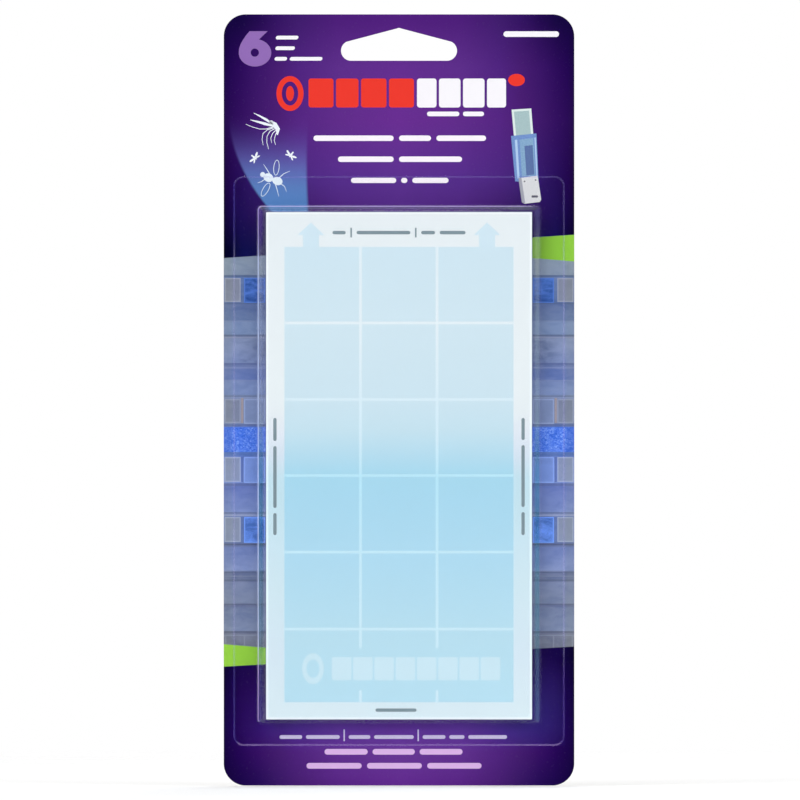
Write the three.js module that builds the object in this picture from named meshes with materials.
// Carded blister pack of six insect-trap glue boards.
//
// A printed backing card with a delta hang hole carries a clear thermoformed blister, heat-sealed
// to its front face. Six glue boards lie stacked in the blister, each of them a stiff printed
// board, a coat of adhesive over its grid and a clear release liner. To open the pack the blister
// is peeled from right to left about the front left edge of its flange, which runs parallel to Z.
//
// Frame, in millimetres: +X to the right of the pack seen from the front, -Y out of its front,
// +Z up. The origin is the centre of the pack's underside: halfway across its width and its depth,
// at the level of the card's bottom edge.

import * as THREE from "three";

// ---- driving dimensions ----------------------------------------------------------------------
const CARD_W = 127.0; // 5 in
const CARD_H = 279.4; // 11 in
const CARD_T = 0.6; // coated paperboard, 24 point
const CARD_R = 7.94; // 5/16 in corners

const HOLE_W = 42.0; // delta hang hole, over its rounded ends
const HOLE_END_R = 3.62; // radius of the rounded ends
const HOLE_BOTTOM = 262.6; // height of the hole's straight lower edge
const HOLE_APEX = 274.45; // height of the peak that sits on the peg
const HOLE_APEX_R = 1.6; // rounding of the peak

const SEAL_GAP = 0.05; // heat-seal coat between the card and the flange
const FILM_T = 0.35; // wall of the formed blister
const FLANGE = { width: 120.1, bottom: 14.35, top: 220.8, radius: 3.7 };
const CAVITY_D = 7.6; // depth of the blister, flange back to outer front
const CAVITY_W = 102.4; // outside of the wall where it meets the flange
const CAVITY_BOTTOM = 22.7;
const CAVITY_TOP = 209.9;
const CAVITY_R = 1.3; // corners of the cavity, seen from the front
const CAVITY_MIN_R = 0.4; // the least those corners shrink to as the outline is inset
const LEAN_SIDE = 1.9; // how far each wall leans in from the flange to the front
const LEAN_BOTTOM = 0.6;
const LEAN_TOP = 1.35;
const FOOT_R = 0.5; // round where the wall leaves the flange, on the outer skin
const EDGE_R = 0.9; // round of the front edge, on the outer skin

const BOARD = { width: 96.5, bottom: 23.9, top: 207.9, radius: 0.5 };
const BOARD_T = 0.6;
const GLUE_W = 82.8; // adhesive covers the printed grid only
const GLUE_BOTTOM = 6.4; // bare margin under the adhesive
const GLUE_TOP = 12.9; // bare margin above it, with the arrows
const GLUE_T = 0.18;
const GLUE_R = 1.0;
const LINER_T = 0.1;
const LINER_INSET = 1.0; // the liner stops short of the board's edges
const LINER_R = 1.5;
const SKIN_GAP = 0.03; // between the layers of one board
const STACK_GAP = 0.11; // between one board and the next
const STACK_BACK = 0.15; // between the card and the rearmost board
const BOARDS = 6;

// Segments per arc of each flat outline, and per quarter round of the blister.
const CARD_STEPS = 14;
const BOARD_STEPS = 3;
const GLUE_STEPS = 4;
const LINER_STEPS = 4;
const CORNER_STEPS = 6;
const EDGE_STEPS = 5;
const FOOT_STEPS = 3;

// ---- derived ---------------------------------------------------------------------------------
const DEPTH = CARD_T + SEAL_GAP + CAVITY_D;
const CARD_BACK = DEPTH / 2;
const CARD_FRONT = CARD_BACK - CARD_T; // y of the card's printed face
const FLANGE_BACK = CARD_FRONT - SEAL_GAP;
const PITCH = BOARD_T + GLUE_T + LINER_T + 2 * SKIN_GAP + STACK_GAP;

// ---- materials -------------------------------------------------------------------------------
const printedCard = new THREE.MeshStandardMaterial({
  color: 0x3c1470,
  roughness: 0.3,
  metalness: 0,
});
const clearFilm = new THREE.MeshStandardMaterial({
  color: 0xdfe8f4,
  roughness: 0.08,
  metalness: 0,
  transparent: true,
  opacity: 0.25,
});
const printedBoard = new THREE.MeshStandardMaterial({
  color: 0xcfe8f4,
  roughness: 0.55,
  metalness: 0,
});
const adhesive = new THREE.MeshStandardMaterial({
  color: 0xe9f4ee,
  roughness: 0.05,
  metalness: 0,
  transparent: true,
  opacity: 0.35,
});
const linerFilm = new THREE.MeshStandardMaterial({
  color: 0xf2f7fb,
  roughness: 0.2,
  metalness: 0,
  transparent: true,
  opacity: 0.3,
});

// ---- helpers ---------------------------------------------------------------------------------

// A rounded rectangle centred on x = 0, drawn anticlockwise as seen from the front. The shape's
// own Y is the pack's Z.
function roundedRect({ width, bottom, top, radius }) {
  const shape = new THREE.Shape();
  const right = width / 2;
  const arcX = right - radius;
  const lowZ = bottom + radius;
  const highZ = top - radius;
  shape.moveTo(-arcX, bottom);
  shape.lineTo(arcX, bottom);
  shape.absarc(arcX, lowZ, radius, -Math.PI / 2, 0, false);
  shape.lineTo(right, highZ);
  shape.absarc(arcX, highZ, radius, 0, Math.PI / 2, false);
  shape.lineTo(-arcX, top);
  shape.absarc(-arcX, highZ, radius, Math.PI / 2, Math.PI, false);
  shape.lineTo(-right, lowZ);
  shape.absarc(-arcX, lowZ, radius, Math.PI, 1.5 * Math.PI, false);
  return shape;
}

// A flat sheet cut to a shape. Its back face is at y = 0 and its front at y = -thickness.
function sheet(shape, thickness, curveSegments) {
  const geometry = new THREE.ExtrudeGeometry(shape, {
    depth: thickness,
    bevelEnabled: false,
    curveSegments,
  });
  geometry.rotateX(Math.PI / 2);
  return geometry;
}

function piece(name, geometry, material, y) {
  const mesh = new THREE.Mesh(geometry, material);
  mesh.name = name;
  mesh.position.y = y;
  return mesh;
}

// ---- backing card ----------------------------------------------------------------------------

// The delta hang hole: a slot with round ends whose upper edge rises to a peak.
function hangHole() {
  const endX = HOLE_W / 2 - HOLE_END_R;
  const endZ = HOLE_BOTTOM + HOLE_END_R;
  const peakZ = HOLE_APEX - HOLE_APEX_R; // centre of the peak's round
  const rise = peakZ - endZ;
  // the angle from +X at which the right end's arc stops and the peak's arc starts
  const slope = Math.atan2(rise, endX);
  const swing = Math.asin((HOLE_END_R - HOLE_APEX_R) / Math.hypot(endX, rise));
  const roofAngle = Math.PI / 2 - slope - swing;

  const hole = new THREE.Path();
  hole.moveTo(endX, HOLE_BOTTOM);
  hole.absarc(endX, endZ, HOLE_END_R, -Math.PI / 2, roofAngle, false);
  hole.absarc(0, peakZ, HOLE_APEX_R, roofAngle, Math.PI - roofAngle, false);
  hole.absarc(-endX, endZ, HOLE_END_R, Math.PI - roofAngle, 1.5 * Math.PI, false);
  hole.lineTo(endX, HOLE_BOTTOM);
  return hole;
}

function backingCard() {
  const shape = roundedRect({ width: CARD_W, bottom: 0, top: CARD_H, radius: CARD_R });
  shape.holes.push(hangHole());
  return piece("backing_card", sheet(shape, CARD_T, CARD_STEPS), printedCard, CARD_BACK);
}

// ---- clear blister ---------------------------------------------------------------------------

// Angles of a quarter turn, from 0 to a right angle.
const quarter = (steps) =>
  Array.from({ length: steps + 1 }, (_, i) => (i / steps) * (Math.PI / 2));

// One ring of the blister's skin: the points of a rounded rectangle, at a depth in front of the
// flange's back.
function ring({ width, bottom, top, radius }, depth) {
  const arcX = width / 2 - radius;
  const lowZ = bottom + radius;
  const highZ = top - radius;
  // centre x, centre z, starting angle
  const corners = [
    [arcX, lowZ, -Math.PI / 2],
    [arcX, highZ, 0],
    [-arcX, highZ, Math.PI / 2],
    [-arcX, lowZ, Math.PI],
  ];
  return corners.flatMap(([x, z, start]) =>
    quarter(CORNER_STEPS).map((turn) => {
      const angle = start + turn;
      return new THREE.Vector3(
        x + radius * Math.cos(angle),
        -depth,
        z + radius * Math.sin(angle),
      );
    }),
  );
}

// The cavity's outline at a depth, where its walls have leaned in by a share of their full lean,
// pulled in by a further inset on every side.
function cavityRing(share, inset, depth) {
  const outline = {
    width: CAVITY_W - 2 * (LEAN_SIDE * share + inset),
    bottom: CAVITY_BOTTOM + LEAN_BOTTOM * share + inset,
    top: CAVITY_TOP - LEAN_TOP * share - inset,
    radius: Math.max(CAVITY_R - inset, CAVITY_MIN_R),
  };
  return ring(outline, depth);
}

// The round from the front face to the wall. Offset is how far the skin lies inside the outer one.
function edgeRings(offset) {
  const radius = EDGE_R - offset;
  return quarter(EDGE_STEPS).map((angle) => {
    const inset = offset + radius * (1 - Math.sin(angle));
    const depth = CAVITY_D - offset - radius * (1 - Math.cos(angle));
    return cavityRing(1, inset, depth);
  });
}

// The round from the wall to the flange, with the same offset.
function footRings(offset) {
  const radius = FOOT_R + offset;
  return quarter(FOOT_STEPS).map((angle) => {
    const inset = offset - radius * (1 - Math.cos(angle));
    const depth = FILM_T - offset + radius * (1 - Math.sin(angle));
    return cavityRing(0, inset, depth);
  });
}

// A closed skin through a run of rings, with a flat cap over the first and the last.
function skin(rings) {
  const count = rings[0].length;
  const positions = rings.flat().flatMap(({ x, y, z }) => [x, y, z]);
  const indices = [];
  for (let k = 0; k + 1 < rings.length; k++) {
    const here = k * count;
    const next = here + count;
    for (let i = 0; i < count; i++) {
      const j = (i + 1) % count;
      indices.push(here + i, next + i, next + j);
      indices.push(here + i, next + j, here + j);
    }
  }
  const cap = (k, flip) => {
    const outline = rings[k].map(({ x, z }) => new THREE.Vector2(x, z));
    for (const triangle of THREE.ShapeUtils.triangulateShape(outline, [])) {
      const corners = triangle.map((i) => k * count + i);
      indices.push(...(flip ? corners.reverse() : corners));
    }
  };
  cap(0, false);
  cap(rings.length - 1, true);

  const geometry = new THREE.BufferGeometry();
  geometry.setAttribute("position", new THREE.Float32BufferAttribute(positions, 3));
  geometry.setIndex(indices);
  return geometry;
}

function clearBlister() {
  const rings = [
    // outer skin, from the front face back to the flange
    ...edgeRings(0),
    ...footRings(0),
    // the flange's outer edge, front then back
    ring(FLANGE, FILM_T),
    ring(FLANGE, 0),
    // inner skin, from the mouth of the cavity to the inside of the front face
    ...footRings(FILM_T).reverse(),
    ...edgeRings(FILM_T).reverse(),
  ];
  return piece("clear_blister", skin(rings), clearFilm, FLANGE_BACK);
}

// ---- glue boards -----------------------------------------------------------------------------

// Board n of the stack, counted from the front: printed board, adhesive, liner.
function glueBoard(n) {
  const board = roundedRect(BOARD);
  const glue = roundedRect({
    width: GLUE_W,
    bottom: BOARD.bottom + GLUE_BOTTOM,
    top: BOARD.top - GLUE_TOP,
    radius: GLUE_R,
  });
  const liner = roundedRect({
    width: BOARD.width - 2 * LINER_INSET,
    bottom: BOARD.bottom + LINER_INSET,
    top: BOARD.top - LINER_INSET,
    radius: LINER_R,
  });
  const glueY = -BOARD_T - SKIN_GAP;
  const linerY = glueY - GLUE_T - SKIN_GAP;

  const group = new THREE.Group();
  group.name = `glue_board_${n}`;
  group.position.y = CARD_FRONT - STACK_BACK - (BOARDS - n) * PITCH;
  group.add(
    piece(`board_${n}_card`, sheet(board, BOARD_T, BOARD_STEPS), printedBoard, 0),
    piece(`board_${n}_glue`, sheet(glue, GLUE_T, GLUE_STEPS), adhesive, glueY),
    piece(`board_${n}_liner`, sheet(liner, LINER_T, LINER_STEPS), linerFilm, linerY),
  );
  return group;
}

// ---- the pack --------------------------------------------------------------------------------
const pack = new THREE.Group();
pack.add(backingCard());
for (let n = 1; n <= BOARDS; n++) pack.add(glueBoard(n));
pack.add(clearBlister());

export default pack;
